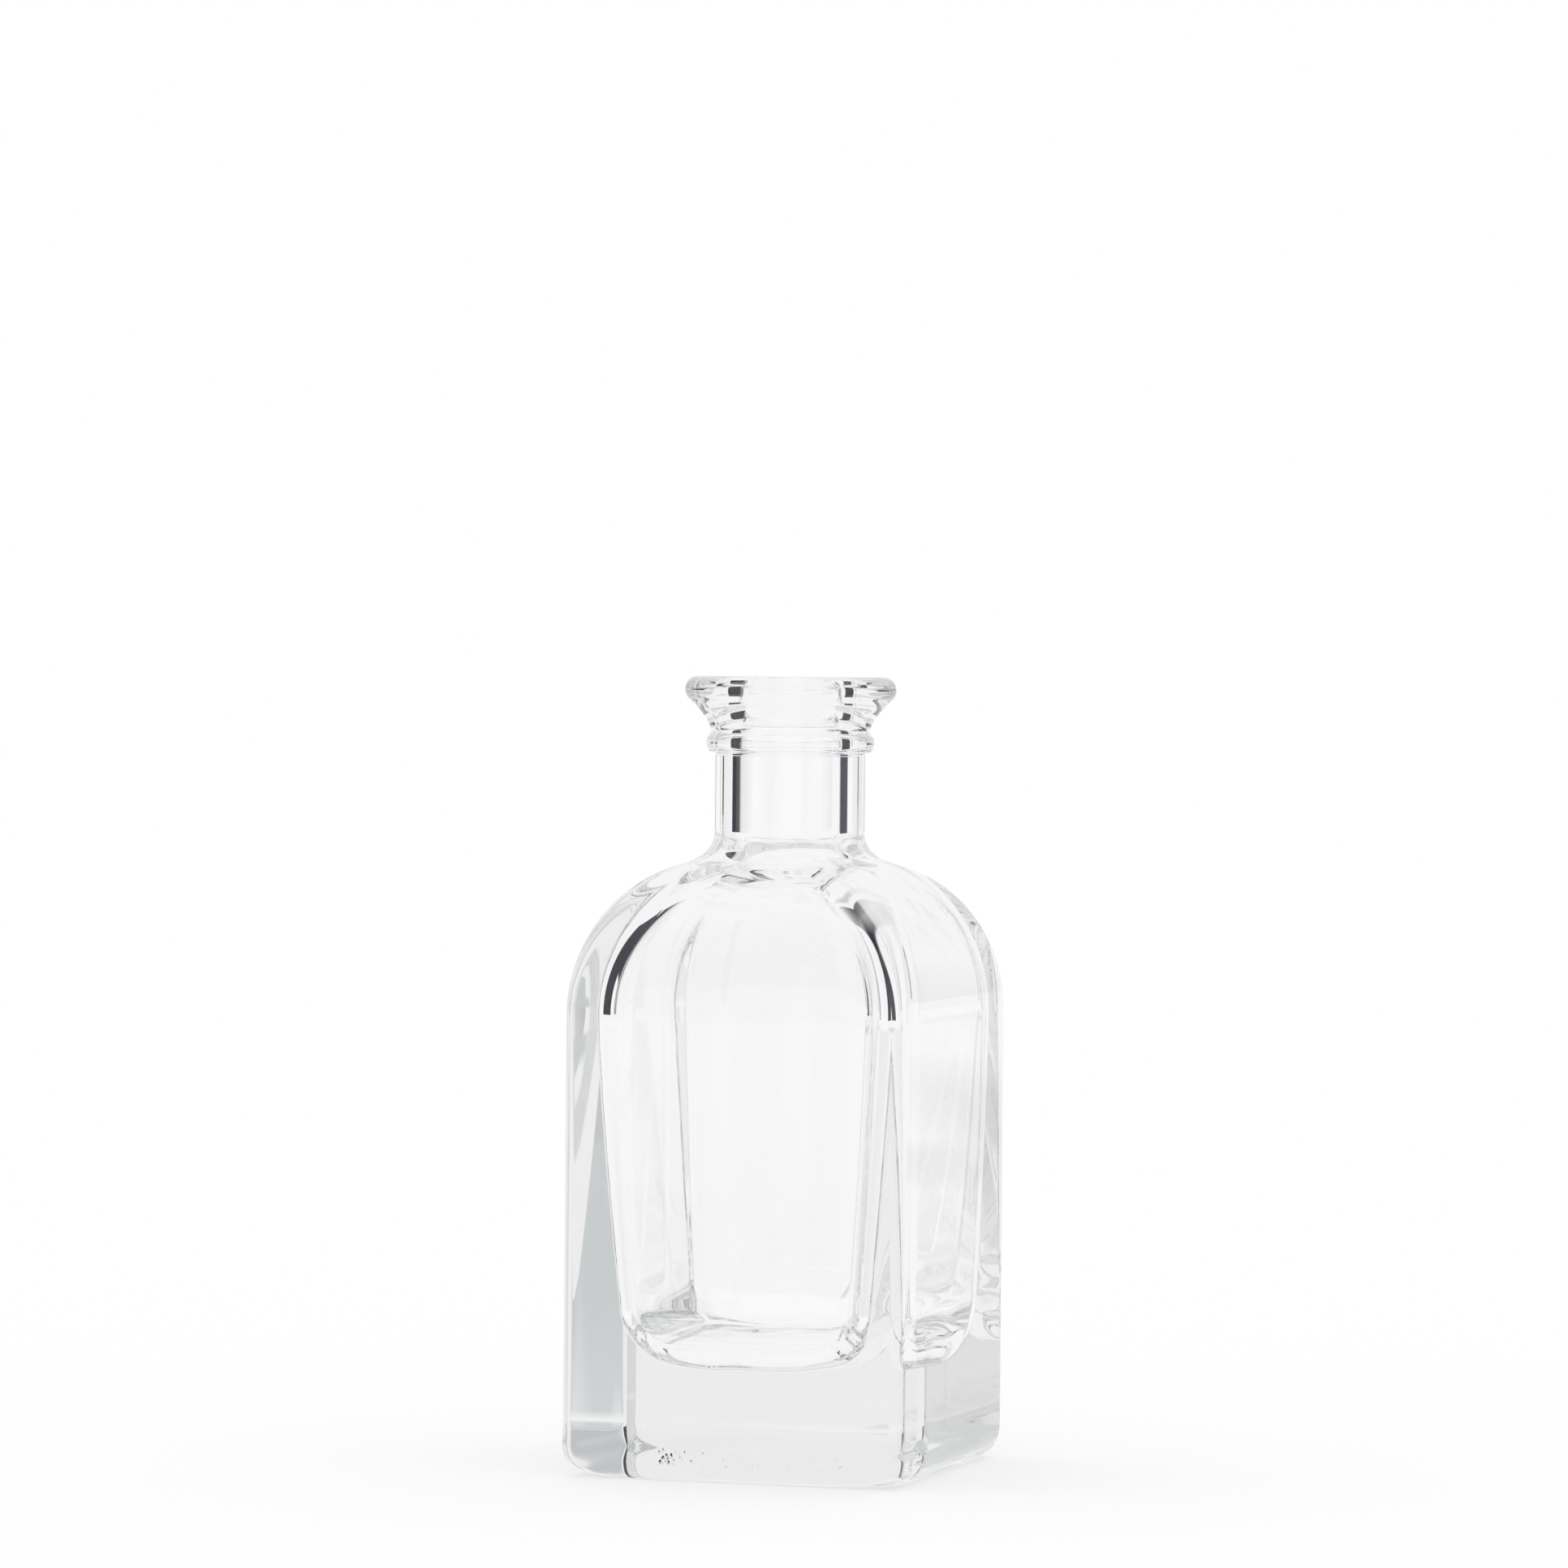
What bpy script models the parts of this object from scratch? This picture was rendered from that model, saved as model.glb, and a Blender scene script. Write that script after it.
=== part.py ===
"""Square apothecary bottle of clear glass, empty and open, at its real size in metres.

The bottle is one moulded piece. It is a stack of closed outlines joined into one skin:
up the outside from the recess under the base to the lip, over the mouth, and down the
bore and the cavity to the floor inside. Origin at the centre of the base, +Z up, and
the panels square to X and Y.
"""
import math

import bmesh
import bpy

# Body, outside
BODY_SIDE = 0.0500
BODY_HEIGHT = 0.0645
EDGE_RADIUS = 0.0019
HEEL_HEIGHT = 0.0047
HEEL_INSET = 0.0028
BASE_CORNER_RADIUS = 0.0088
BEARING_WIDTH = 0.0034
RECESS_DEPTH = 0.0013
RECESS_SLOPE_WIDTH = 0.0030

# Shoulder, neck and finish, outside
SHOULDER_HEIGHT = 0.0215
NECK_ROOT_RISE = 0.0040
NECK_DIAMETER = 0.0213
NECK_LENGTH = 0.0153
BEAD_HEIGHT = 0.00275
BEAD_PROJECTION = 0.00127
FLARE_HEIGHT = 0.00615
LIP_DIAMETER = 0.0300
LIP_EDGE_WIDTH = 0.00173
LIP_EDGE_ABOVE = 0.0019
LIP_EDGE_BELOW = 0.0018

# Mouth, bore and cavity
MOUTH_ROUNDING = 0.0018
BORE_DIAMETER = 0.0144
BORE_ROOT_RISE = 0.0060
SHOULDER_WALL = 0.0029
WALL_TOP = 0.0030
WALL_LOW = 0.0064
INSIDE_EDGE_RADIUS_TOP = 0.0070
INSIDE_EDGE_RADIUS_LOW = 0.0048
FLOOR_ROUNDING = 0.0090
FLOOR_CORNER_RADIUS = 0.0065
BASE_THICKNESS = 0.0150

# Shares, powers and angles
ROOT_START_SHARE = 0.25
WAIST_SHARE = 0.48
HEEL_CORNER_POWER = 5.0
BEAD_FULLNESS_POWER = 0.6
WALL_POWER = 1.3
LIP_JOIN_ANGLE = math.radians(48)

# Facets
FACETS_PER_QUARTER = 12
QUARTERS = 4
HEEL_STEPS = 6
SHOULDER_STEPS = 11
ROOT_STEPS = 4
BEAD_STEPS = 6
FLARE_STEPS = 4
LIP_STEPS = 7
MOUTH_STEPS = 4
WALL_STEPS = 4
FLOOR_STEPS = 5

# Glass
GLASS_COLOUR = (0.93, 0.95, 0.945, 1.0)
GLASS_ROUGHNESS = 0.02
GLASS_IOR = 1.52
SMOOTH_ANGLE = math.radians(40)

# Heights and half widths that follow from the sizes
HALF_SIDE = BODY_SIDE / 2
NECK_RADIUS = NECK_DIAMETER / 2
BORE_RADIUS = BORE_DIAMETER / 2
LIP_RADIUS = LIP_DIAMETER / 2
SHOULDER_TOP = BODY_HEIGHT + SHOULDER_HEIGHT
BEAD_BOTTOM = SHOULDER_TOP + NECK_LENGTH
BEAD_MIDDLE = BEAD_BOTTOM + BEAD_HEIGHT / 2
LIP_MIDDLE = BEAD_BOTTOM + BEAD_HEIGHT + FLARE_HEIGHT
RIM_TOP = LIP_MIDDLE + LIP_EDGE_ABOVE
CEILING = SHOULDER_TOP - SHOULDER_WALL
FLOOR_ROUNDING_TOP = BASE_THICKNESS + FLOOR_ROUNDING


def clear_scene():
    for old in list(bpy.data.objects):
        bpy.data.objects.remove(old, do_unlink=True)


def outline(half, corner_radius, height):
    """Points of a square of this half width with round corners; a circle where both match.

    The facets lie on the flats, so a panel is exactly its half width from the axis.
    """
    straight = half - corner_radius
    step = math.pi / 2 / FACETS_PER_QUARTER
    radius = corner_radius / math.cos(step / 2)
    points = []
    for quarter in range(QUARTERS):
        turn = quarter * math.pi / 2
        centre_x = straight * math.sqrt(2) * math.cos(turn + math.pi / 4)
        centre_y = straight * math.sqrt(2) * math.sin(turn + math.pi / 4)
        for facet in range(FACETS_PER_QUARTER):
            angle = turn + (facet + 0.5) * step
            x = centre_x + radius * math.cos(angle)
            y = centre_y + radius * math.sin(angle)
            points.append((x, y, height))
    return points


def circle(radius, height):
    return outline(radius, radius, height)


def shares(steps, first=0):
    """Even shares from 0 to 1, starting at the given step."""
    return [step / steps for step in range(first, steps + 1)]


def bend(start, corner, end, share):
    """A point of the curve that leaves start towards corner and arrives at end from corner."""
    rest = 1 - share
    across = rest * rest * start[0] + 2 * rest * share * corner[0] + share * share * end[0]
    up = rest * rest * start[1] + 2 * rest * share * corner[1] + share * share * end[1]
    return across, up


def base_rings():
    """The recess under the base and the flat ring that the bottle stands on."""
    half = HALF_SIDE - HEEL_INSET
    inner = half - BEARING_WIDTH
    inner_corner = BASE_CORNER_RADIUS - BEARING_WIDTH
    flat = inner - RECESS_SLOPE_WIDTH
    flat_corner = inner_corner - RECESS_SLOPE_WIDTH
    return [
        outline(flat, flat_corner, RECESS_DEPTH),
        outline(inner, inner_corner, 0),
        outline(half, BASE_CORNER_RADIUS, 0),
    ]


def heel_rings():
    """The rounded foot of the body, where the corners open out from the base to the panels."""
    rings = []
    for share in shares(HEEL_STEPS, first=1):
        angle = share * math.pi / 2
        fall = 1 - math.sin(angle)
        half = HALF_SIDE - HEEL_INSET * fall
        height = HEEL_HEIGHT * (1 - math.cos(angle))
        low = (1 - height / HEEL_HEIGHT) ** HEEL_CORNER_POWER
        corner = EDGE_RADIUS + (BASE_CORNER_RADIUS - EDGE_RADIUS) * low
        rings.append(outline(half, corner, height))
    return rings


def blend_ring(half, corner_radius, round_radius, away, height):
    """An outline between a circle, at 0, and the square body outline, at 1."""
    mixed_half = round_radius + (half - round_radius) * away
    mixed_corner = round_radius + (corner_radius - round_radius) * away
    return outline(mixed_half, mixed_corner, height)


def shoulder_points(bottom, rise, root_rise):
    """Shares of the way out from the neck, with their heights, from the body to the neck.

    Up to the root each line is a quarter of an ellipse. The root then turns it upright.
    """
    last = math.acos(ROOT_START_SHARE)
    points = []
    for share in shares(SHOULDER_STEPS):
        angle = share * last
        points.append((math.cos(angle), bottom + rise * math.sin(angle)))
    start = points[-1]
    slope = rise * math.cos(last) / math.sin(last)
    corner = (0, start[1] + slope * start[0])
    end = (0, bottom + rise + root_rise)
    points += [bend(start, corner, end, share) for share in shares(ROOT_STEPS, first=1)]
    return points


def shoulder_rings():
    points = shoulder_points(BODY_HEIGHT, SHOULDER_HEIGHT, NECK_ROOT_RISE)
    return [blend_ring(HALF_SIDE, EDGE_RADIUS, NECK_RADIUS, away, height) for away, height in points]


def finish_rings():
    """Bead, flare and lip, up to the outer edge of the flat rim."""
    rings = []
    bead_end = math.acos(WAIST_SHARE ** (1 / BEAD_FULLNESS_POWER))
    for share in shares(BEAD_STEPS):
        angle = -math.pi / 2 + share * (bead_end + math.pi / 2)
        radius = NECK_RADIUS + BEAD_PROJECTION * math.cos(angle) ** BEAD_FULLNESS_POWER
        height = BEAD_MIDDLE + BEAD_HEIGHT / 2 * math.sin(angle)
        rings.append(circle(radius, height))
    start = (radius, height)
    edge_middle = LIP_RADIUS - LIP_EDGE_WIDTH
    join_radius = edge_middle + LIP_EDGE_WIDTH * math.cos(LIP_JOIN_ANGLE)
    join_height = LIP_MIDDLE - LIP_EDGE_BELOW * math.sin(LIP_JOIN_ANGLE)
    join_slope = LIP_EDGE_WIDTH * math.sin(LIP_JOIN_ANGLE) / (LIP_EDGE_BELOW * math.cos(LIP_JOIN_ANGLE))
    corner = (start[0], join_height - (join_radius - start[0]) / join_slope)
    for share in shares(FLARE_STEPS, first=1):
        rings.append(circle(*bend(start, corner, (join_radius, join_height), share)))
    for share in shares(LIP_STEPS, first=1):
        angle = -LIP_JOIN_ANGLE + share * (LIP_JOIN_ANGLE + math.pi / 2)
        tall = LIP_EDGE_ABOVE if angle > 0 else LIP_EDGE_BELOW
        radius = edge_middle + LIP_EDGE_WIDTH * math.cos(angle)
        rings.append(circle(radius, LIP_MIDDLE + tall * math.sin(angle)))
    return rings


def mouth_rings():
    """The rounded edge from the flat rim into the bore."""
    rings = []
    for share in shares(MOUTH_STEPS):
        angle = share * math.pi / 2
        radius = BORE_RADIUS + MOUTH_ROUNDING * (1 - math.sin(angle))
        rings.append(circle(radius, RIM_TOP - MOUTH_ROUNDING * (1 - math.cos(angle))))
    return rings


def cavity_rings():
    """From the foot of the bore over the ceiling and down the walls to the flat floor."""
    half_top = HALF_SIDE - WALL_TOP
    rise = CEILING - BODY_HEIGHT
    points = shoulder_points(BODY_HEIGHT, rise, BORE_ROOT_RISE)
    rings = []
    for away, height in reversed(points):
        rings.append(blend_ring(half_top, INSIDE_EDGE_RADIUS_TOP, BORE_RADIUS, away, height))
    for share in shares(WALL_STEPS, first=1):
        height = BODY_HEIGHT - share * (BODY_HEIGHT - FLOOR_ROUNDING_TOP)
        wall = WALL_TOP + (WALL_LOW - WALL_TOP) * share ** WALL_POWER
        edge = INSIDE_EDGE_RADIUS_TOP + (INSIDE_EDGE_RADIUS_LOW - INSIDE_EDGE_RADIUS_TOP) * share
        rings.append(outline(HALF_SIDE - wall, edge, height))
    half_low = HALF_SIDE - WALL_LOW
    for share in shares(FLOOR_STEPS, first=1):
        angle = share * math.pi / 2
        half = half_low - FLOOR_ROUNDING * (1 - math.cos(angle))
        edge = INSIDE_EDGE_RADIUS_LOW + (FLOOR_CORNER_RADIUS - INSIDE_EDGE_RADIUS_LOW) * share
        rings.append(outline(half, edge, FLOOR_ROUNDING_TOP - FLOOR_ROUNDING * math.sin(angle)))
    return rings


def make_glass():
    glass = bpy.data.materials.new("clear_glass")
    glass.use_nodes = True
    shader = glass.node_tree.nodes["Principled BSDF"]
    shader.inputs["Base Color"].default_value = GLASS_COLOUR
    shader.inputs["Roughness"].default_value = GLASS_ROUGHNESS
    shader.inputs["Metallic"].default_value = 0.0
    shader.inputs["IOR"].default_value = GLASS_IOR
    shader.inputs["Transmission Weight"].default_value = 1.0
    return glass


def make_bottle():
    """Joins the outlines, ring by ring, and closes the base and the floor with flat faces."""
    rings = base_rings() + heel_rings() + shoulder_rings() + finish_rings() + mouth_rings() + cavity_rings()
    skin = bmesh.new()
    loops = [[skin.verts.new(point) for point in ring] for ring in rings]
    for lower, upper in zip(loops, loops[1:]):
        for index, vertex in enumerate(lower):
            following = (index + 1) % len(lower)
            skin.faces.new((vertex, lower[following], upper[following], upper[index]))
    skin.faces.new(reversed(loops[0]))
    skin.faces.new(loops[-1])
    mesh = bpy.data.meshes.new("glass_bottle")
    skin.to_mesh(mesh)
    skin.free()
    mesh.shade_smooth()
    mesh.set_sharp_from_angle(angle=SMOOTH_ANGLE)
    mesh.materials.append(make_glass())
    bottle = bpy.data.objects.new("glass_bottle", mesh)
    bpy.context.scene.collection.objects.link(bottle)
    return bottle


clear_scene()
make_bottle()
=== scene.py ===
"""Looks of the square apothecary bottle: clear moulded glass on a plain white table.

The bottle's form is worked out again from the sizes below, with fine rings in place of
facets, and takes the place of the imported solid. Metres, +Z up, the front panel at -Y.
"""

import math

import bmesh
import bpy
import numpy as np
from mathutils import Matrix, Vector, noise


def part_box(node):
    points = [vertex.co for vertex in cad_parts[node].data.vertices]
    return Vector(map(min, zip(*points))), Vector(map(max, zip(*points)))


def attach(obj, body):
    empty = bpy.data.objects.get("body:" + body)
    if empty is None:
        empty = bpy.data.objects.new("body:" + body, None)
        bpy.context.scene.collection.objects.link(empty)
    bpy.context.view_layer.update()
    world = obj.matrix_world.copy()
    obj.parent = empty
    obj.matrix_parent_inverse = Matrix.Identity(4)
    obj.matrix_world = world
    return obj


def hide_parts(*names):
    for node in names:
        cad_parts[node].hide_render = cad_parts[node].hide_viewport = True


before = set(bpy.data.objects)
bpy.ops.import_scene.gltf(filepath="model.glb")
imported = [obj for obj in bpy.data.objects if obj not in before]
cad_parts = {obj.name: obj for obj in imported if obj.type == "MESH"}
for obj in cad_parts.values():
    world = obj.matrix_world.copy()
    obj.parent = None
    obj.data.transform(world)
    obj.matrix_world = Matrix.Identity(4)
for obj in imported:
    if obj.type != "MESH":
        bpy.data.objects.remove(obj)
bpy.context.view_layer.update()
packed_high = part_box("glass_bottle")[1]

# Body, outside
HALF_SIDE = packed_high.x
RIM_TOP = packed_high.z
BODY_HEIGHT = 0.0645
EDGE_RADIUS = 0.0019
HEEL_HEIGHT = 0.0047
HEEL_INSET = 0.0028
BASE_CORNER_RADIUS = 0.0088
HEEL_CORNER_POWER = 5.0
BEARING_WIDTH = 0.0034
RECESS_DEPTH = 0.0013
RECESS_SLOPE_WIDTH = 0.0030

# Shoulder, neck and finish, outside
SHOULDER_HEIGHT = 0.0215
ROOT_START_SHARE = 0.25
NECK_ROOT_RISE = 0.0040
NECK_RADIUS = 0.01065
NECK_LENGTH = 0.0153
BEAD_HEIGHT = 0.00275
BEAD_PROJECTION = 0.00127
BEAD_FULLNESS_POWER = 0.6
WAIST_SHARE = 0.48
LIP_RADIUS = 0.0150
LIP_EDGE_WIDTH = 0.00173
LIP_EDGE_ABOVE = 0.0019
LIP_EDGE_BELOW = 0.0018
LIP_JOIN_ANGLE = math.radians(48)

# Mouth, bore and cavity
MOUTH_ROUNDING = 0.0018
BORE_RADIUS = 0.0072
BORE_ROOT_RISE = 0.0060
SHOULDER_WALL = 0.0029
WALL_TOP = 0.0030
WALL_LOW = 0.0064
WALL_POWER = 1.3
INSIDE_EDGE_RADIUS_TOP = 0.0070
INSIDE_EDGE_RADIUS_LOW = 0.0048
FLOOR_ROUNDING = 0.0090
FLOOR_CORNER_RADIUS = 0.0065
BASE_THICKNESS = 0.0150

# Fineness of the mesh
POINTS_PER_QUARTER = 64
TURN_SHARE = 0.5
FINE_STEP = 0.0005
PANEL_STEP = 2 * FINE_STEP
SLOPE_STEP = FINE_STEP / 2
EDGE_STEP = FINE_STEP / 4
BEAD_STEP = FINE_STEP / 5
HEEL_STEP = 0.00008
FEWEST_STEPS = 4
PIT_CUTS = 15
SAME_LEVEL = HEEL_STEP / 100
TINY = 1e-9

# Waves left inside by blowing
WALL_WAVE_HEIGHT = 0.000008
WALL_WAVE_LENGTH = 0.012
FLOOR_WAVE_HEIGHT = 0.00045
FLOOR_WAVE_LENGTH = 0.0060

# Small pits pressed into the heel, along the front and near the front corner of the right side
PIT_SEED = 11
PIT_LOW = 0.0024
PIT_HIGH = 0.0045
PIT_SMALLEST = 0.00016
PIT_LARGEST = 0.00040
PIT_SIZE_POWER = 2
PIT_DEPTH_SHARE = 0.85
PIT_FORM_POWER = 1.5
FRONT_PITS = 95
FRONT_RUN = (-0.0108, 0.0185)
RIGHT_PITS = 26
RIGHT_RUN = (-0.0205, -0.0125)

# Mould seams, on the front left and rear right diagonals, from the heel to the lip
SEAM_HEIGHT = 0.00016
SEAM_HALF_WIDTH = 0.00018
SEAM_DIRECTION = math.radians(225)
SEAMLESS_LIP_RINGS = 2

# Clear glass, with a faint grey tint
GLASS_IOR = 1.52
GLASS_TINT = (0.745, 0.755, 0.755)
GLASS_TINT_DENSITY = 10.0
GLASS_BOUNCES = 32

# The photograph's view
CAMERA_AZIMUTH = math.radians(18.0)
CAMERA_DISTANCE = 1.0714
CAMERA_HEIGHT = 0.1177
CAMERA_ROLL = math.radians(0.5)
CAMERA_REACH = 10 * CAMERA_DISTANCE
FRAME_PIXELS = 1932
HORIZON_PIXEL = 785
AXIS_PIXEL = 975
DISTANCE_PIXELS = 9300
SENSOR_WIDTH = 36.0

# Table top, and the distances between which each zone of its painted light and painted shadow in
# mirrored rays gives way to the next
TABLE_RADIUS = 1.33
TABLE_POINTS = 128
TABLE_DROP = 0.00004
UNDER_BOTTLE = 0.070
NEAR_TABLE = 0.080
FAR_TABLE = 0.28
OUTER_START = 0.55
OUTER_TABLE = 0.61
EDGE_START = 0.67
EDGE_TABLE = 0.72
FADE_START = 0.90
FADE_END = 1.10
SHADE_CENTRE = -0.034
SHADOW_SHARE = 0.35

# Steepness from which the room's walls fade into a white ceiling, and over how much more
CARD_TOP = math.radians(45)
CARD_FADE = math.radians(25)

# Colours of the walls and the table as mirrored and refracted rays meet them; the shades and the
# table's greys are painted shade and painted shadow of the bottle
WHITE = (1.0, 1.0, 1.0)
CARD = (0.010, 0.007, 0.022)
BEHIND = (0.975, 0.960, 0.970)
BACKDROP = (0.950, 0.935, 0.945)
# SIDE_SHADE and NEAR_SIDE_SHADE are painted shadow of the bottle on the table; FOOT_SHADE and
# REAR_SHADE are painted shade on the walls
SIDE_SHADE = (0.64, 0.67, 0.67)
NEAR_SIDE_SHADE = (0.69, 0.72, 0.72)
FOOT_SHADE = (0.56, 0.59, 0.60)
REAR_SHADE = (0.64, 0.65, 0.65)
BROWN = (0.54, 0.48, 0.43)


def grey(level):
    return (level, level, level)


# Where they lie round the bottle, in degrees to the right of the direction straight behind it
# REAR_SHADE and FOOT_SHADE in these walls are painted shade
LEFT_WALL_LIGHT = [
    (-180, WHITE), (-155, WHITE), (-150, REAR_SHADE), (-138, REAR_SHADE), (-133, WHITE),
    (-90, WHITE), (-88, CARD), (-45, CARD),
]
RIGHT_WALL_LIGHT = [
    (45, CARD), (67, CARD), (69, grey(0.95)), (100, WHITE), (125, grey(0.85)),
    (140, grey(0.85)), (180, WHITE),
]
LOWER_WALL_LIGHT = LEFT_WALL_LIGHT + [(-44, BEHIND), (44, BEHIND)] + RIGHT_WALL_LIGHT
UPPER_WALL_LIGHT = LEFT_WALL_LIGHT + [
    (-44, BACKDROP), (34, BACKDROP), (35.5, FOOT_SHADE), (38.5, FOOT_SHADE), (40, BACKDROP),
    (44, BACKDROP),
] + RIGHT_WALL_LIGHT
# The table is white: the greys and shades in its ramps below are painted shadow of the bottle and
# painted shade, seen in mirrored and refracted rays
UNDER_LIGHT = [
    (-180, WHITE), (-160, grey(0.78)), (-130, grey(0.78)), (-120, WHITE), (180, WHITE),
]
FRONT_LEFT_LIGHT = [
    (-180, WHITE), (-160, grey(0.80)), (-140, grey(0.80)), (-120, grey(0.97)),
]
FRONT_RIGHT_LIGHT = [(110, grey(0.85)), (140, grey(0.90)), (180, WHITE)]
NEAR_TABLE_LIGHT = FRONT_LEFT_LIGHT + [
    (-90, grey(0.86)), (-60, grey(0.96)), (-28, BEHIND), (35.7, BEHIND),
    (36.2, NEAR_SIDE_SHADE), (38.5, NEAR_SIDE_SHADE), (40.5, BEHIND), (60, BEHIND),
    (75, grey(0.92)),
] + FRONT_RIGHT_LIGHT
FAR_TABLE_LIGHT = FRONT_LEFT_LIGHT + [
    (-60, grey(0.94)), (-28, BEHIND), (34.5, BEHIND), (36.4, SIDE_SHADE), (38.2, SIDE_SHADE),
    (39.4, BEHIND), (48, BEHIND), (60, grey(0.90)), (75, grey(0.86)),
] + FRONT_RIGHT_LIGHT
OUTER_TABLE_LIGHT = [
    (-180, WHITE), (-28, BEHIND), (34.5, BEHIND), (36.4, SIDE_SHADE), (45, SIDE_SHADE),
    (60, grey(0.80)), (75, BEHIND), (180, WHITE),
]
EDGE_TABLE_LIGHT = [
    (-180, WHITE), (-28, BEHIND), (36.0, BEHIND), (36.6, SIDE_SHADE), (37.1, BROWN),
    (37.8, BROWN), (38.2, SIDE_SHADE), (38.8, BEHIND), (180, WHITE),
]


def steps(length, finest=FINE_STEP):
    """Even shares from 0 to 1 that cut this length into pieces of about the finest step."""
    count = max(FEWEST_STEPS, math.ceil(length / finest))
    return np.linspace(0, 1, count + 1)


def bend(start, corner, end, share):
    """Points of the curve that leaves start towards corner and arrives at end from corner."""
    rest = 1 - share
    across = rest * rest * start[0] + 2 * rest * share * corner[0] + share * share * end[0]
    up = rest * rest * start[1] + 2 * rest * share * corner[1] + share * share * end[1]
    return across, up


def column(half, corner, height):
    """One stretch of the profile: half width, corner radius and height of each ring."""
    half, corner, height = np.broadcast_arrays(half, corner, height)
    return np.stack([half, corner, height], axis=1)


def base_stretch():
    """From the middle of the recess under the base to the edge of the bearing ring."""
    half = HALF_SIDE - HEEL_INSET
    inner = half - BEARING_WIDTH
    inner_corner = BASE_CORNER_RADIUS - BEARING_WIDTH
    flat = inner - RECESS_SLOPE_WIDTH
    share = steps(flat)[1:]
    middle = column(flat * share, (inner_corner - RECESS_SLOPE_WIDTH) * share, RECESS_DEPTH)
    share = steps(RECESS_SLOPE_WIDTH, SLOPE_STEP)[1:]
    fall = (1 + np.cos(math.pi * share)) / 2
    slope = column(
        flat + RECESS_SLOPE_WIDTH * share,
        inner_corner - RECESS_SLOPE_WIDTH * (1 - share),
        RECESS_DEPTH * fall,
    )
    share = steps(BEARING_WIDTH)[1:]
    ring = column(inner + BEARING_WIDTH * share, inner_corner + BEARING_WIDTH * share, 0)
    return [middle, slope, ring]


def heel_stretch():
    """The rounded heel, whose corners are fuller than those of the body."""
    share = steps(HEEL_HEIGHT, HEEL_STEP)[1:]
    angle = share * math.pi / 2
    height = HEEL_HEIGHT * (1 - np.cos(angle))
    low = (1 - height / HEEL_HEIGHT) ** HEEL_CORNER_POWER
    corner = EDGE_RADIUS + (BASE_CORNER_RADIUS - EDGE_RADIUS) * low
    return [column(HALF_SIDE - HEEL_INSET * (1 - np.sin(angle)), corner, height)]


def panel_stretch():
    """The upright panels, from the heel to the shoulder."""
    rise = BODY_HEIGHT - HEEL_HEIGHT
    share = steps(rise, PANEL_STEP)[1:]
    return [column(HALF_SIDE, EDGE_RADIUS, HEEL_HEIGHT + rise * share)]


def shoulder_lines(bottom, rise, root_rise):
    """Shares of the way out from the neck and their heights, from the body to the neck."""
    last = math.acos(ROOT_START_SHARE)
    angle = last * steps(2 * rise)
    away = np.cos(angle)
    height = bottom + rise * np.sin(angle)
    start = (away[-1], height[-1])
    slope = rise * math.cos(last) / math.sin(last)
    corner = (0, start[1] + slope * start[0])
    end = (0, bottom + rise + root_rise)
    root_away, root_height = bend(start, corner, end, steps(2 * root_rise)[1:])
    return np.concatenate([away, root_away]), np.concatenate([height, root_height])


def blend(half, corner, radius, away, height):
    """Rings between a circle, at 0, and the square outline, at 1."""
    return column(radius + (half - radius) * away, radius + (corner - radius) * away, height)


def shoulder_stretch():
    """The rounded shoulder and the root of the neck, outside."""
    away, height = shoulder_lines(BODY_HEIGHT, SHOULDER_HEIGHT, NECK_ROOT_RISE)
    return [blend(HALF_SIDE, EDGE_RADIUS, NECK_RADIUS, away[1:], height[1:])]


def finish_stretch():
    """Neck, bead, flare and lip, up to the outer edge of the flat rim."""
    neck_bottom = BODY_HEIGHT + SHOULDER_HEIGHT + NECK_ROOT_RISE
    bead_bottom = BODY_HEIGHT + SHOULDER_HEIGHT + NECK_LENGTH
    share = steps(bead_bottom - neck_bottom)[1:]
    neck = column(NECK_RADIUS, NECK_RADIUS, neck_bottom + (bead_bottom - neck_bottom) * share)

    bead_middle = bead_bottom + BEAD_HEIGHT / 2
    bead_end = math.acos(WAIST_SHARE ** (1 / BEAD_FULLNESS_POWER))
    share = steps(BEAD_HEIGHT, BEAD_STEP)[1:]
    angle = -math.pi / 2 + share * (bead_end + math.pi / 2)
    radius = NECK_RADIUS + BEAD_PROJECTION * np.cos(angle) ** BEAD_FULLNESS_POWER
    bead = column(radius, radius, bead_middle + BEAD_HEIGHT / 2 * np.sin(angle))

    start = (bead[-1][0], bead[-1][2])
    edge_middle = LIP_RADIUS - LIP_EDGE_WIDTH
    lip_middle = RIM_TOP - LIP_EDGE_ABOVE
    join_radius = edge_middle + LIP_EDGE_WIDTH * math.cos(LIP_JOIN_ANGLE)
    join_height = lip_middle - LIP_EDGE_BELOW * math.sin(LIP_JOIN_ANGLE)
    slope = LIP_EDGE_WIDTH * math.tan(LIP_JOIN_ANGLE) / LIP_EDGE_BELOW
    corner = (start[0], join_height - (join_radius - start[0]) / slope)
    share = steps(RIM_TOP - start[1], SLOPE_STEP)[1:]
    radius, height = bend(start, corner, (join_radius, join_height), share)
    flare = column(radius, radius, height)

    share = steps(2 * LIP_EDGE_WIDTH, EDGE_STEP)[1:]
    angle = -LIP_JOIN_ANGLE + share * (LIP_JOIN_ANGLE + math.pi / 2)
    radius = edge_middle + LIP_EDGE_WIDTH * np.cos(angle)
    tall = np.where(angle > 0, LIP_EDGE_ABOVE, LIP_EDGE_BELOW)
    lip = column(radius, radius, lip_middle + tall * np.sin(angle))
    return [neck, bead, flare, lip]


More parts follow.
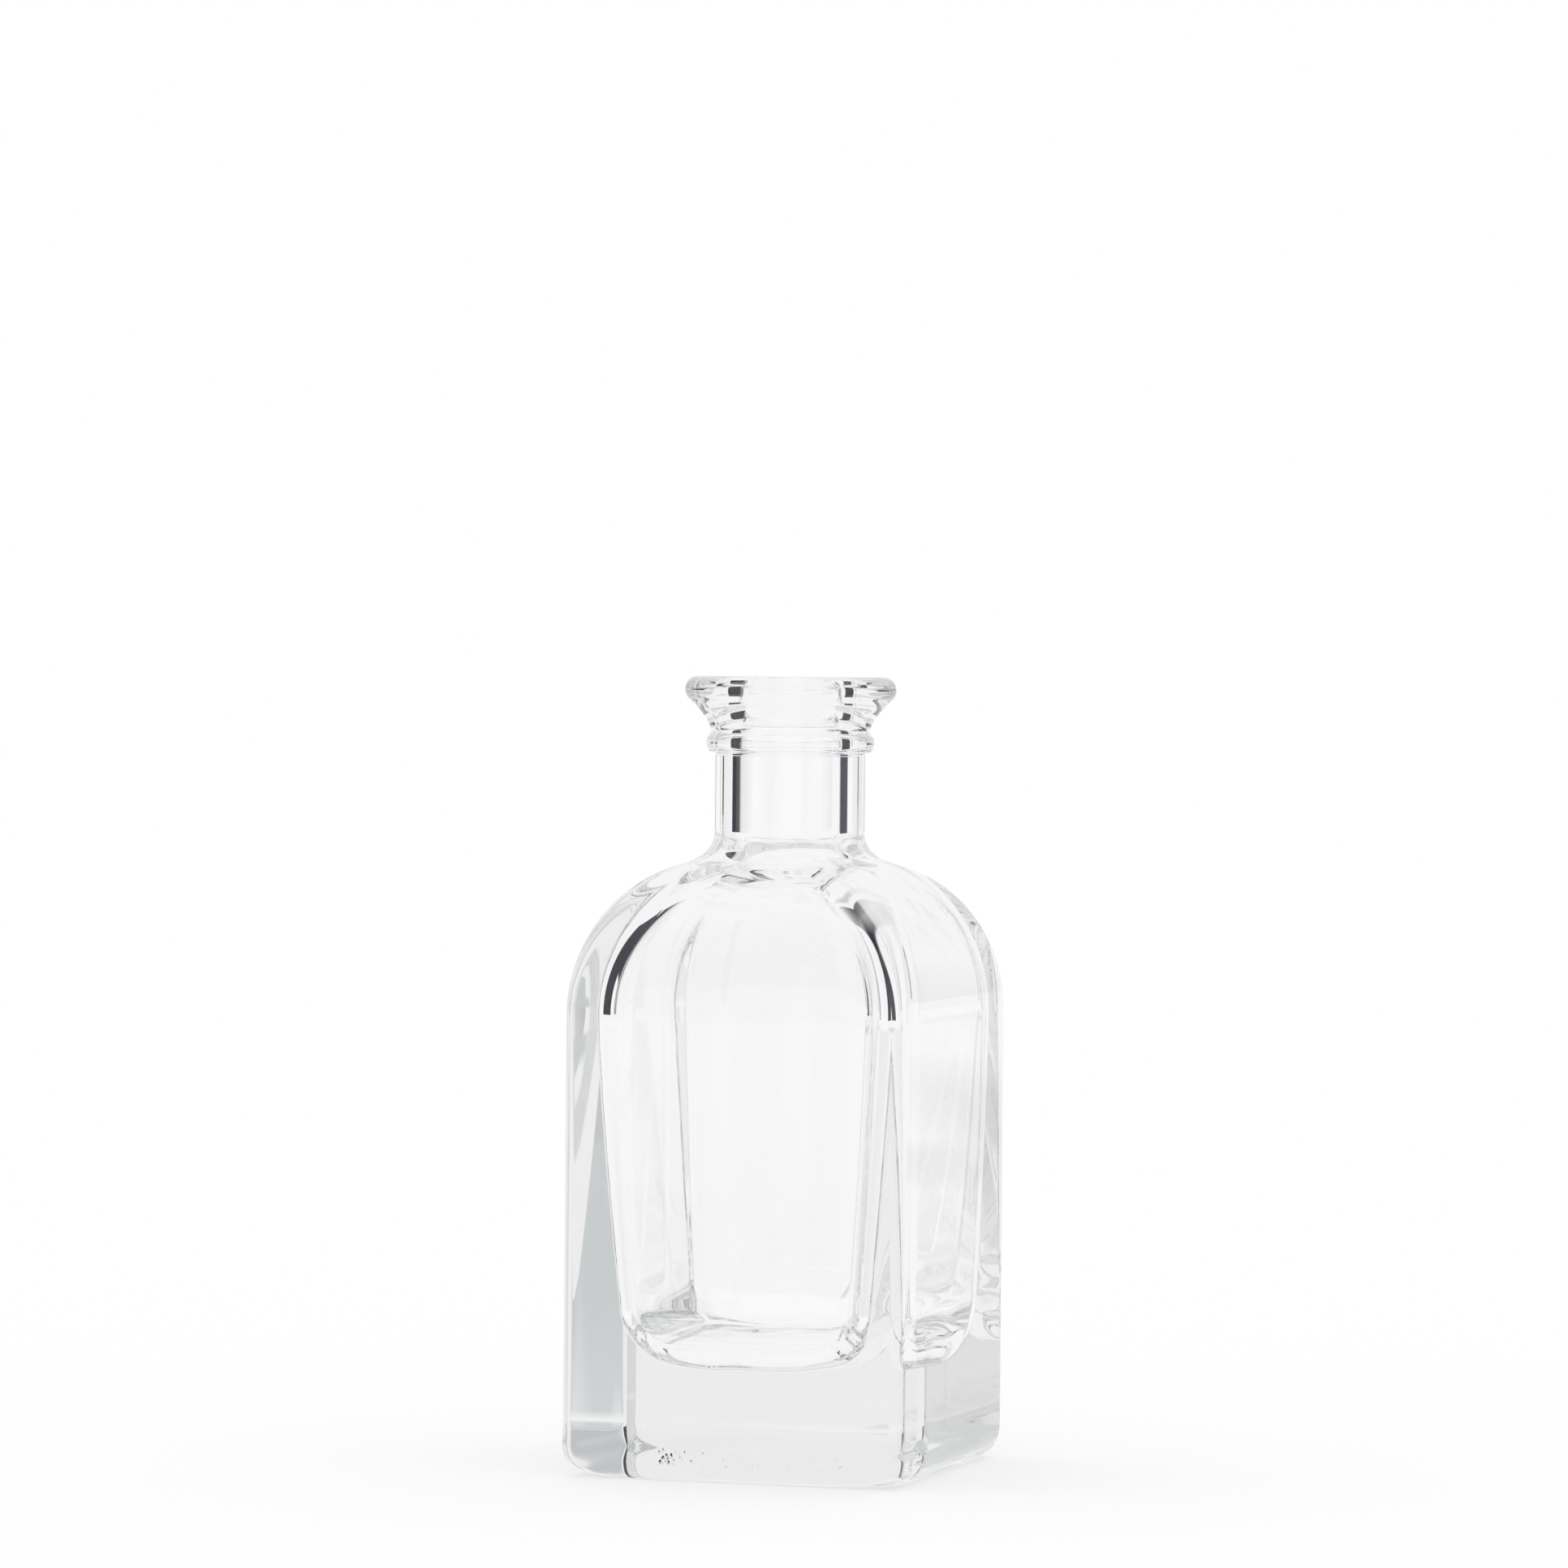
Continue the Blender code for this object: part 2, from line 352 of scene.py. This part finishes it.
def mouth_stretch():
    """The flat rim and the rounded edge into the bore, down to the foot of the bore."""
    outer = LIP_RADIUS - LIP_EDGE_WIDTH
    inner = BORE_RADIUS + MOUTH_ROUNDING
    radius = outer + (inner - outer) * steps(outer - inner)[1:]
    land = column(radius, radius, RIM_TOP)
    angle = steps(2 * MOUTH_ROUNDING, EDGE_STEP)[1:] * math.pi / 2
    radius = BORE_RADIUS + MOUTH_ROUNDING * (1 - np.sin(angle))
    edge = column(radius, radius, RIM_TOP - MOUTH_ROUNDING * (1 - np.cos(angle)))
    top = RIM_TOP - MOUTH_ROUNDING
    foot = BODY_HEIGHT + SHOULDER_HEIGHT - SHOULDER_WALL + BORE_ROOT_RISE
    bore = column(BORE_RADIUS, BORE_RADIUS, top + (foot - top) * steps(top - foot)[1:])
    return [land, edge, bore]


def cavity_stretch():
    """Under the shoulder, down the walls and over the rounded floor to its middle."""
    half_top = HALF_SIDE - WALL_TOP
    away, height = shoulder_lines(BODY_HEIGHT, SHOULDER_HEIGHT - SHOULDER_WALL, BORE_ROOT_RISE)
    away, height = away[::-1], height[::-1]
    ceiling = blend(half_top, INSIDE_EDGE_RADIUS_TOP, BORE_RADIUS, away[1:], height[1:])

    rounding_top = BASE_THICKNESS + FLOOR_ROUNDING
    share = steps(BODY_HEIGHT - rounding_top, PANEL_STEP)[1:]
    wall = WALL_TOP + (WALL_LOW - WALL_TOP) * share**WALL_POWER
    edge = INSIDE_EDGE_RADIUS_TOP + (INSIDE_EDGE_RADIUS_LOW - INSIDE_EDGE_RADIUS_TOP) * share
    walls = column(HALF_SIDE - wall, edge, BODY_HEIGHT - (BODY_HEIGHT - rounding_top) * share)

    half_low = HALF_SIDE - WALL_LOW
    share = steps(2 * FLOOR_ROUNDING)[1:]
    angle = share * math.pi / 2
    half = half_low - FLOOR_ROUNDING * (1 - np.cos(angle))
    edge = INSIDE_EDGE_RADIUS_LOW + (FLOOR_CORNER_RADIUS - INSIDE_EDGE_RADIUS_LOW) * share
    rounding = column(half, edge, rounding_top - FLOOR_ROUNDING * np.sin(angle))
    share = 1 - steps(half[-1])[1:-1]
    middle = column(half[-1] * share, edge[-1] * share, BASE_THICKNESS)
    return [ceiling, walls, rounding, middle]


def place_rings(rings):
    """Points of every ring, crowded where the outline turns, as (ring, point, xyz)."""
    half, corner, height = (rings[:, index][:, None] for index in range(3))
    along = (np.arange(POINTS_PER_QUARTER) + 0.5)[None, :] / POINTS_PER_QUARTER
    flat = half - corner
    flat_share = (1 - TURN_SHARE) * flat / (2 * flat + corner * math.pi / 2)
    flat_share = np.maximum(flat_share, TINY)
    angle = np.clip((along - flat_share) / (1 - 2 * flat_share), 0, 1) * math.pi / 2
    first = along < flat_share
    last = along > 1 - flat_share
    x = np.where(first, half, flat + corner * np.cos(angle))
    y = np.where(last, half, flat + corner * np.sin(angle))
    y = np.where(first, flat * along / flat_share, y)
    x = np.where(last, flat * (1 - along) / flat_share, x)
    quarters = [(x, y), (-y, x), (-x, -y), (y, -x)]
    x = np.concatenate([part[0] for part in quarters], axis=1)
    y = np.concatenate([part[1] for part in quarters], axis=1)
    return np.stack([x, y, np.broadcast_to(height, x.shape)], axis=2)


def add_seams(places):
    """Raises a fine ridge on the two seam diagonals of these rings."""
    along = np.array([math.cos(SEAM_DIRECTION), math.sin(SEAM_DIRECTION)])
    across = places[..., 0] * along[1] - places[..., 1] * along[0]
    ridge = SEAM_HEIGHT * np.exp(-((across / SEAM_HALF_WIDTH) ** 2))
    length = np.hypot(places[..., 0], places[..., 1])
    places[..., :2] *= (1 + ridge / length)[..., None]


def add_waves(places):
    """Moves the points of the cavity's rings in and out by slow noise, most on the floor."""
    centre = np.array([0, 0, BASE_THICKNESS + FLOOR_ROUNDING])
    for ring in places:
        for point in ring:
            depth = min(1, max(0, (centre[2] - point[2]) / FLOOR_ROUNDING))
            height = WALL_WAVE_HEIGHT + (FLOOR_WAVE_HEIGHT - WALL_WAVE_HEIGHT) * depth
            length = WALL_WAVE_LENGTH + (FLOOR_WAVE_LENGTH - WALL_WAVE_LENGTH) * depth
            wave = noise.noise(Vector(point / length))
            outward = point - centre
            outward[2] = min(0, outward[2])
            point += outward / np.linalg.norm(outward) * wave * height


def pit_places():
    """Middles and radii of the pits, as rows of x, y, z and radius."""
    rng = np.random.default_rng(PIT_SEED)
    rows = []
    for count, run, front in ((FRONT_PITS, FRONT_RUN, True), (RIGHT_PITS, RIGHT_RUN, False)):
        for _ in range(count):
            along, height = rng.uniform(*run), rng.uniform(PIT_LOW, PIT_HIGH)
            size_share = rng.uniform() ** PIT_SIZE_POWER
            radius = PIT_SMALLEST + (PIT_LARGEST - PIT_SMALLEST) * size_share
            middle = (along, -HALF_SIDE, height) if front else (HALF_SIDE, along, height)
            rows.append((*middle, radius))
    return np.array(rows)


def inside_run(along, run):
    return run[0] - PIT_LARGEST < along < run[1] + PIT_LARGEST


def pitted_side(place):
    """The side of the heel, front or right, among whose pits a point lies, if there is one."""
    if not inside_run(place.z, (PIT_LOW, PIT_HIGH)):
        return None
    if place.y < HEEL_INSET - HALF_SIDE and inside_run(place.x, FRONT_RUN):
        return "front"
    if place.x > HALF_SIDE - HEEL_INSET and inside_run(place.y, RIGHT_RUN):
        return "right"
    return None


def pit_depth(pits, flat):
    """How far the pits press in the heel at a point of the flat panel over it."""
    away = np.linalg.norm(pits[:, :3] - flat, axis=1) / pits[:, 3]
    form = np.maximum(0, 1 - away**2) ** PIT_FORM_POWER
    return np.max(pits[:, 3] * PIT_DEPTH_SHARE * form)


def press_pits(mesh):
    """Cuts the heel finer where the pits are and presses them in."""
    pits = pit_places()
    cutter = bmesh.new()
    cutter.from_mesh(mesh)
    cut = []
    for edge in cutter.edges:
        first, last = (vert.co for vert in edge.verts)
        if abs(first.z - last.z) < SAME_LEVEL and pitted_side((first + last) / 2):
            cut.append(edge)
    bmesh.ops.subdivide_edges(cutter, edges=cut, cuts=PIT_CUTS, use_grid_fill=True)
    for vert in cutter.verts:
        side = pitted_side(vert.co)
        if side == "front":
            vert.co += Vector((0, pit_depth(pits, (vert.co.x, -HALF_SIDE, vert.co.z)), 0))
        elif side == "right":
            vert.co += Vector((-pit_depth(pits, (HALF_SIDE, vert.co.y, vert.co.z)), 0, 0))
    cutter.to_mesh(mesh)
    cutter.free()


def build_bottle():
    """One closed skin, from the middle of the recess up to the rim and down inside."""
    below = base_stretch() + heel_stretch()
    outside = below + panel_stretch() + shoulder_stretch() + finish_stretch()
    cavity = cavity_stretch()
    rings = np.concatenate(outside + mouth_stretch() + cavity)
    places = place_rings(rings)
    seam_first = len(np.concatenate(below))
    seam_last = len(np.concatenate(outside)) - SEAMLESS_LIP_RINGS
    add_seams(places[seam_first:seam_last])
    add_waves(places[-len(np.concatenate(cavity)):])

    ring_count, point_count = places.shape[:2]
    index = np.arange(ring_count * point_count).reshape(ring_count, point_count)
    following = np.roll(index, -1, axis=1)
    corners = [index[:-1], following[:-1], following[1:], index[1:]]
    quads = np.stack(corners, axis=2).reshape(-1, 4)
    faces = quads.tolist() + [index[0][::-1].tolist(), index[-1].tolist()]
    mesh = bpy.data.meshes.new("bottle_glass")
    mesh.from_pydata(places.reshape(-1, 3).tolist(), [], faces)
    mesh.update()
    press_pits(mesh)
    mesh.update()
    mesh.shade_smooth()
    bottle = bpy.data.objects.new("bottle_glass", mesh)
    bpy.context.scene.collection.objects.link(bottle)
    return bottle


def glass_material():
    glass = bpy.data.materials.new("clear_flint_glass")
    glass.use_nodes = True
    nodes, links = glass.node_tree.nodes, glass.node_tree.links
    shader = nodes["Principled BSDF"]
    shader.inputs["Base Color"].default_value = (*WHITE, 1.0)
    shader.inputs["Roughness"].default_value = 0.0
    shader.inputs["IOR"].default_value = GLASS_IOR
    shader.inputs["Transmission Weight"].default_value = 1.0
    absorption = nodes.new("ShaderNodeVolumeAbsorption")
    absorption.inputs["Color"].default_value = (*GLASS_TINT, 1.0)
    absorption.inputs["Density"].default_value = GLASS_TINT_DENSITY
    links.new(absorption.outputs["Volume"], nodes["Material Output"].inputs["Volume"])
    return glass


def feed(tree, socket, value):
    """Links another node's output to a socket, or sets the socket to a number or colour."""
    if isinstance(value, bpy.types.NodeSocket):
        tree.links.new(value, socket)
    elif isinstance(value, tuple):
        socket.default_value = (*value, 1.0)
    else:
        socket.default_value = value


def math_node(tree, operation, *values):
    node = tree.nodes.new("ShaderNodeMath")
    node.operation = operation
    for socket, value in zip(node.inputs, values):
        feed(tree, socket, value)
    return node.outputs[0]


def share_node(tree, value, low, high, interpolation="LINEAR"):
    """How far a value is on its way from low to high, from 0 to 1."""
    node = tree.nodes.new("ShaderNodeMapRange")
    node.interpolation_type = interpolation
    node.inputs["From Min"].default_value = low
    node.inputs["From Max"].default_value = high
    tree.links.new(value, node.inputs["Value"])
    return node.outputs["Result"]


def color_mix(tree, share, first, last):
    node = tree.nodes.new("ShaderNodeMix")
    node.data_type = "RGBA"
    for name, value in (("Factor", share), ("A", first), ("B", last)):
        feed(tree, node.inputs[name], value)
    return node.outputs["Result"]


def shader_mix(tree, share, first, last):
    node = tree.nodes.new("ShaderNodeMixShader")
    for socket, value in zip(node.inputs, (share, first, last)):
        tree.links.new(value, socket)
    return node.outputs[0]


def mirrored_share(tree, path):
    """1 for mirrored and refracted rays, else 0."""
    return math_node(
        tree, "MAXIMUM", path.outputs["Is Glossy Ray"], path.outputs["Is Transmission Ray"]
    )


def azimuth_ramp(tree, vector, stops):
    """A colour by the direction of a vector round the vertical, counted as in the stops."""
    split = tree.nodes.new("ShaderNodeSeparateXYZ")
    tree.links.new(vector, split.inputs[0])
    turn = math_node(tree, "ARCTAN2", split.outputs["X"], split.outputs["Y"])
    from_view = math_node(tree, "ADD", turn, CAMERA_AZIMUTH)
    wrapped = math_node(tree, "WRAP", from_view, math.pi, -math.pi)
    ramp = tree.nodes.new("ShaderNodeValToRGB")
    tree.links.new(share_node(tree, wrapped, -math.pi, math.pi), ramp.inputs["Fac"])
    elements = ramp.color_ramp.elements
    elements[0].color = (*stops[0][1], 1.0)
    elements[1].color = (*stops[-1][1], 1.0)
    for degrees, color in stops[1:-1]:
        elements.new((degrees + 180) / 360).color = (*color, 1.0)
    return ramp.outputs["Color"]


def build_world():
    """White, but mirrored and refracted rays meet the dark cards beyond the table's edge."""
    world = bpy.data.worlds.new("studio")
    bpy.context.scene.world = world
    world.use_nodes = True
    tree = world.node_tree
    direction = tree.nodes.new("ShaderNodeTexCoord").outputs["Generated"]
    split = tree.nodes.new("ShaderNodeSeparateXYZ")
    tree.links.new(direction, split.inputs[0])
    rise = split.outputs["Z"]
    lower = azimuth_ramp(tree, direction, LOWER_WALL_LIGHT)
    upper = azimuth_ramp(tree, direction, UPPER_WALL_LIGHT)
    walls = color_mix(tree, math_node(tree, "GREATER_THAN", rise, 0.0), lower, upper)
    steepness = math_node(tree, "ARCSINE", rise)
    above = share_node(tree, steepness, CARD_TOP, CARD_TOP + CARD_FADE, "SMOOTHSTEP")
    room = color_mix(tree, above, walls, WHITE)
    path = tree.nodes.new("ShaderNodeLightPath")
    background = tree.nodes["Background"]
    seen = color_mix(tree, mirrored_share(tree, path), WHITE, room)
    tree.links.new(seen, background.inputs["Color"])
    background.inputs["Strength"].default_value = 1.0


def table_light(tree, position):
    """The table's painted light for mirrored rays, with painted shadow of the bottle, zone by
    zone outwards from the bottle.

    Its directions are counted round a point that lies SHADE_CENTRE to the right of the axis.
    """
    centre = Vector((math.cos(CAMERA_AZIMUTH), math.sin(CAMERA_AZIMUTH), 0)) * SHADE_CENTRE
    shifted = tree.nodes.new("ShaderNodeVectorMath")
    shifted.operation = "SUBTRACT"
    tree.links.new(position, shifted.inputs[0])
    shifted.inputs[1].default_value = centre
    distance = tree.nodes.new("ShaderNodeVectorMath")
    distance.operation = "LENGTH"
    tree.links.new(position, distance.inputs[0])
    zones = [
        (UNDER_BOTTLE, NEAR_TABLE, NEAR_TABLE_LIGHT),
        (NEAR_TABLE, FAR_TABLE, FAR_TABLE_LIGHT),
        (OUTER_START, OUTER_TABLE, OUTER_TABLE_LIGHT),
        (EDGE_START, EDGE_TABLE, EDGE_TABLE_LIGHT),
    ]
    light = azimuth_ramp(tree, shifted.outputs[0], UNDER_LIGHT)
    for first, last, stops in zones:
        share = share_node(tree, distance.outputs["Value"], first, last)
        light = color_mix(tree, share, light, azimuth_ramp(tree, shifted.outputs[0], stops))
    share = share_node(tree, distance.outputs["Value"], FADE_START, FADE_END)
    return color_mix(tree, share, light, BEHIND)


def table_material():
    """White with a soft shadow, painted light and painted shadow of the bottle in mirrored rays,
    and clear from underneath.
    """
    material = bpy.data.materials.new("white_table")
    material.use_nodes = True
    tree = material.node_tree
    tree.nodes.remove(tree.nodes["Principled BSDF"])
    geometry = tree.nodes.new("ShaderNodeNewGeometry")
    path = tree.nodes.new("ShaderNodeLightPath")
    paint = tree.nodes.new("ShaderNodeBsdfDiffuse")
    paint.inputs["Color"].default_value = (*WHITE, 1.0)
    white = tree.nodes.new("ShaderNodeEmission")
    lift = math_node(tree, "MULTIPLY", path.outputs["Is Camera Ray"], 1 - SHADOW_SHARE)
    top = shader_mix(tree, lift, paint.outputs[0], white.outputs[0])
    # Emission for mirrored and refracted rays: painted light, with painted shadow of the bottle
    # near it
    painted_table_light = tree.nodes.new("ShaderNodeEmission")
    tree.links.new(table_light(tree, geometry.outputs["Position"]), painted_table_light.inputs["Color"])
    seen = shader_mix(tree, mirrored_share(tree, path), top, painted_table_light.outputs[0])
    clear = tree.nodes.new("ShaderNodeBsdfTransparent")
    side = shader_mix(tree, geometry.outputs["Backfacing"], seen, clear.outputs[0])
    tree.links.new(side, tree.nodes["Material Output"].inputs["Surface"])
    return material


def build_table():
    """A round table top, which belongs to the staging."""
    turns = [index / TABLE_POINTS * 2 * math.pi for index in range(TABLE_POINTS)]
    ring = [
        (TABLE_RADIUS * math.cos(turn), TABLE_RADIUS * math.sin(turn), -TABLE_DROP)
        for turn in turns
    ]
    mesh = bpy.data.meshes.new("table_top")
    mesh.from_pydata(ring, [], [list(range(TABLE_POINTS))])
    mesh.materials.append(table_material())
    table = bpy.data.objects.new("table_top", mesh)
    bpy.context.scene.collection.objects.link(table)


def build_camera():
    data = bpy.data.cameras.new("photograph")
    data.sensor_width = SENSOR_WIDTH
    data.lens = SENSOR_WIDTH * DISTANCE_PIXELS / FRAME_PIXELS
    data.shift_x = (FRAME_PIXELS / 2 - AXIS_PIXEL) / FRAME_PIXELS
    data.shift_y = (HORIZON_PIXEL - FRAME_PIXELS / 2) / FRAME_PIXELS
    data.clip_end = CAMERA_REACH
    camera = bpy.data.objects.new("photograph", data)
    bpy.context.scene.collection.objects.link(camera)
    away = Vector((math.sin(CAMERA_AZIMUTH), -math.cos(CAMERA_AZIMUTH), 0))
    camera.location = away * CAMERA_DISTANCE + Vector((0, 0, CAMERA_HEIGHT))
    level = Matrix.Rotation(CAMERA_AZIMUTH, 4, "Z") @ Matrix.Rotation(math.pi / 2, 4, "X")
    camera.rotation_euler = (level @ Matrix.Rotation(CAMERA_ROLL, 4, "Z")).to_euler()
    bpy.context.scene.camera = camera


bottle = build_bottle()
bottle.data.materials.append(glass_material())
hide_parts("glass_bottle")
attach(bottle, "root")
build_table()
build_world()
build_camera()
bpy.context.scene.view_settings.view_transform = "Standard"
light_paths = bpy.context.scene.cycles
light_paths.max_bounces = GLASS_BOUNCES
light_paths.glossy_bounces = GLASS_BOUNCES
light_paths.transmission_bounces = GLASS_BOUNCES
